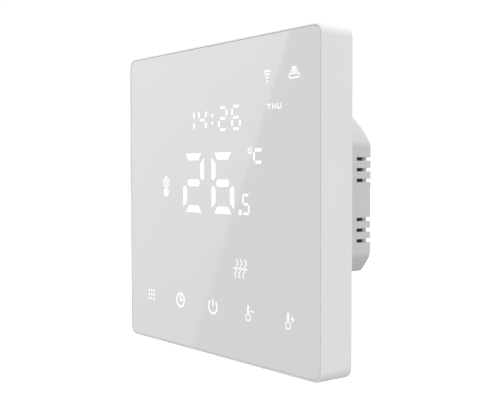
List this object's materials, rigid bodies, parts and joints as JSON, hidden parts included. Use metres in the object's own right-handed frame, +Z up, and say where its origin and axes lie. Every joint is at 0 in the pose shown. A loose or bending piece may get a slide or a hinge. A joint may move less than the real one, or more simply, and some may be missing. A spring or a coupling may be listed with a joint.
{
  "type": "wall thermostat",
  "caption": "Slim square touch thermostat with a lit display, a lift-off front, a steel mounting plate and a vented round housing for a flush wall box.",
  "frame": {"origin": "centre of the wall plane, which is the back face of the mounting plate", "axes": "+X to the right and +Z up as seen from the room, +Y into the wall"},
  "size_m": [0.086, 0.0355, 0.086],
  "materials": {
    "frame_plastic": "white polycarbonate, fine satin",
    "panel_glass": "flat touch glass, printed grey-white behind, glossy",
    "adhesive": "thin foam tape",
    "display_light": "white diffusing film, lit",
    "light_box_plastic": "white moulded reflector",
    "circuit_board": "green solder mask on glass fibre",
    "module_can": "tinned shield can",
    "chip": "moulded black epoxy",
    "sensor_epoxy": "dipped epoxy bead",
    "connector": "black connector body with tinned pins",
    "plate_steel": "zinc-plated sheet",
    "rear_plastic": "light grey-white, fine texture",
    "transformer_tape": "yellow tape over a ferrite core",
    "capacitor_case": "yellow film-capacitor case",
    "capacitor_can": "dark sleeve on an aluminium can",
    "varistor_coat": "blue dipped disc",
    "fuse_body": "small fuse tube",
    "relay_plastic": "blue relay case",
    "coil_wire": "enamelled copper winding",
    "relay_iron": "soft iron, plated",
    "contact_metal": "tinned brass",
    "terminal_plastic": "green terminal body",
    "clamp_metal": "plated clamp cage",
    "screw_steel": "plated steel",
    "spring_wire": "plated spring wire"
  },
  "bodies": {
    "root": {"power_board": "circuit_board", "board_socket": "connector", "mounting_plate": "plate_steel", "rear_housing": "rear_plastic", "transformer": "transformer_tape", "input_capacitor": "capacitor_case", "smoothing_capacitor": "capacitor_can", "varistor": "varistor_coat", "fuse": "fuse_body", "relay_cover": "relay_plastic", "relay_base": "relay_plastic", "relay_coil": "coil_wire", "relay_yoke": "relay_iron", "relay_fixed_contact": "contact_metal", "terminal_block": "terminal_plastic", "plate_screw_1": "screw_steel", "power_board_screw_1": "screw_steel", "plate_screw_2": "screw_steel", "power_board_screw_2": "screw_steel", "terminal_contact_1": "contact_metal", "terminal_contact_2": "contact_metal", "terminal_contact_3": "contact_metal", "terminal_contact_4": "contact_metal", "terminal_contact_5": "contact_metal", "terminal_contact_6": "contact_metal"},
    "front": {"front_frame": "frame_plastic", "touch_panel": "panel_glass", "panel_adhesive": "adhesive", "display_diffuser": "display_light", "display_light_box": "light_box_plastic", "display_board": "circuit_board", "wireless_module": "module_can", "main_chip": "chip", "display_driver": "chip", "air_sensor": "sensor_epoxy", "board_header": "connector", "touch_spring_1": "spring_wire", "touch_spring_2": "spring_wire", "touch_spring_3": "spring_wire", "touch_spring_4": "spring_wire", "touch_spring_5": "spring_wire", "display_board_screw_1": "screw_steel", "display_board_screw_2": "screw_steel", "display_board_screw_3": "screw_steel", "display_board_screw_4": "screw_steel"},
    "relay_arm": {"relay_armature": "relay_iron"},
    "screw_1": {"terminal_screw_1": "screw_steel"},
    "screw_2": {"terminal_screw_2": "screw_steel"},
    "screw_3": {"terminal_screw_3": "screw_steel"},
    "screw_4": {"terminal_screw_4": "screw_steel"},
    "screw_5": {"terminal_screw_5": "screw_steel"},
    "screw_6": {"terminal_screw_6": "screw_steel"},
    "clamp_1": {"terminal_clamp_1": "clamp_metal"},
    "clamp_2": {"terminal_clamp_2": "clamp_metal"},
    "clamp_3": {"terminal_clamp_3": "clamp_metal"},
    "clamp_4": {"terminal_clamp_4": "clamp_metal"},
    "clamp_5": {"terminal_clamp_5": "clamp_metal"},
    "clamp_6": {"terminal_clamp_6": "clamp_metal"}
  },
  "joints": [
    {"name": "front_lift", "type": "slide", "parent": "root", "child": "front", "axis": [0, -1, 0], "range_m": [0, 0.03]},
    {"name": "relay_armature", "type": "hinge", "parent": "root", "child": "relay_arm", "pos_m": [-0.00075, 0.0162, -0.0096], "axis": [0, 0, -1], "range_deg": [0, 3.6], "stiffness_Nm_per_rad": 0.01, "springref_deg": -5.73},
    {"name": "screw_1_turn", "type": "hinge", "parent": "root", "child": "screw_1", "pos_m": [-0.0125, 0.0121, -0.0245], "axis": [0, -1, 0], "range_deg": [0, 1080]},
    {"name": "screw_2_turn", "type": "hinge", "parent": "root", "child": "screw_2", "pos_m": [-0.0075, 0.0121, -0.0245], "axis": [0, -1, 0], "range_deg": [0, 1080]},
    {"name": "screw_3_turn", "type": "hinge", "parent": "root", "child": "screw_3", "pos_m": [-0.0025, 0.0121, -0.0245], "axis": [0, -1, 0], "range_deg": [0, 1080]},
    {"name": "screw_4_turn", "type": "hinge", "parent": "root", "child": "screw_4", "pos_m": [0.0025, 0.0121, -0.0245], "axis": [0, -1, 0], "range_deg": [0, 1080]},
    {"name": "screw_5_turn", "type": "hinge", "parent": "root", "child": "screw_5", "pos_m": [0.0075, 0.0121, -0.0245], "axis": [0, -1, 0], "range_deg": [0, 1080]},
    {"name": "screw_6_turn", "type": "hinge", "parent": "root", "child": "screw_6", "pos_m": [0.0125, 0.0121, -0.0245], "axis": [0, -1, 0], "range_deg": [0, 1080]},
    {"name": "clamp_1_rise", "type": "slide", "parent": "root", "child": "clamp_1", "axis": [0, 1, 0], "range_m": [0, 0.0012]},
    {"name": "clamp_2_rise", "type": "slide", "parent": "root", "child": "clamp_2", "axis": [0, 1, 0], "range_m": [0, 0.0012]},
    {"name": "clamp_3_rise", "type": "slide", "parent": "root", "child": "clamp_3", "axis": [0, 1, 0], "range_m": [0, 0.0012]},
    {"name": "clamp_4_rise", "type": "slide", "parent": "root", "child": "clamp_4", "axis": [0, 1, 0], "range_m": [0, 0.0012]},
    {"name": "clamp_5_rise", "type": "slide", "parent": "root", "child": "clamp_5", "axis": [0, 1, 0], "range_m": [0, 0.0012]},
    {"name": "clamp_6_rise", "type": "slide", "parent": "root", "child": "clamp_6", "axis": [0, 1, 0], "range_m": [0, 0.0012]}
  ],
  "couplings": [
    {"joint": "screw_1_turn", "follows": "clamp_1_rise", "rad_per_m": 15708},
    {"joint": "screw_2_turn", "follows": "clamp_2_rise", "rad_per_m": 15708},
    {"joint": "screw_3_turn", "follows": "clamp_3_rise", "rad_per_m": 15708},
    {"joint": "screw_4_turn", "follows": "clamp_4_rise", "rad_per_m": 15708},
    {"joint": "screw_5_turn", "follows": "clamp_5_rise", "rad_per_m": 15708},
    {"joint": "screw_6_turn", "follows": "clamp_6_rise", "rad_per_m": 15708}
  ]
}
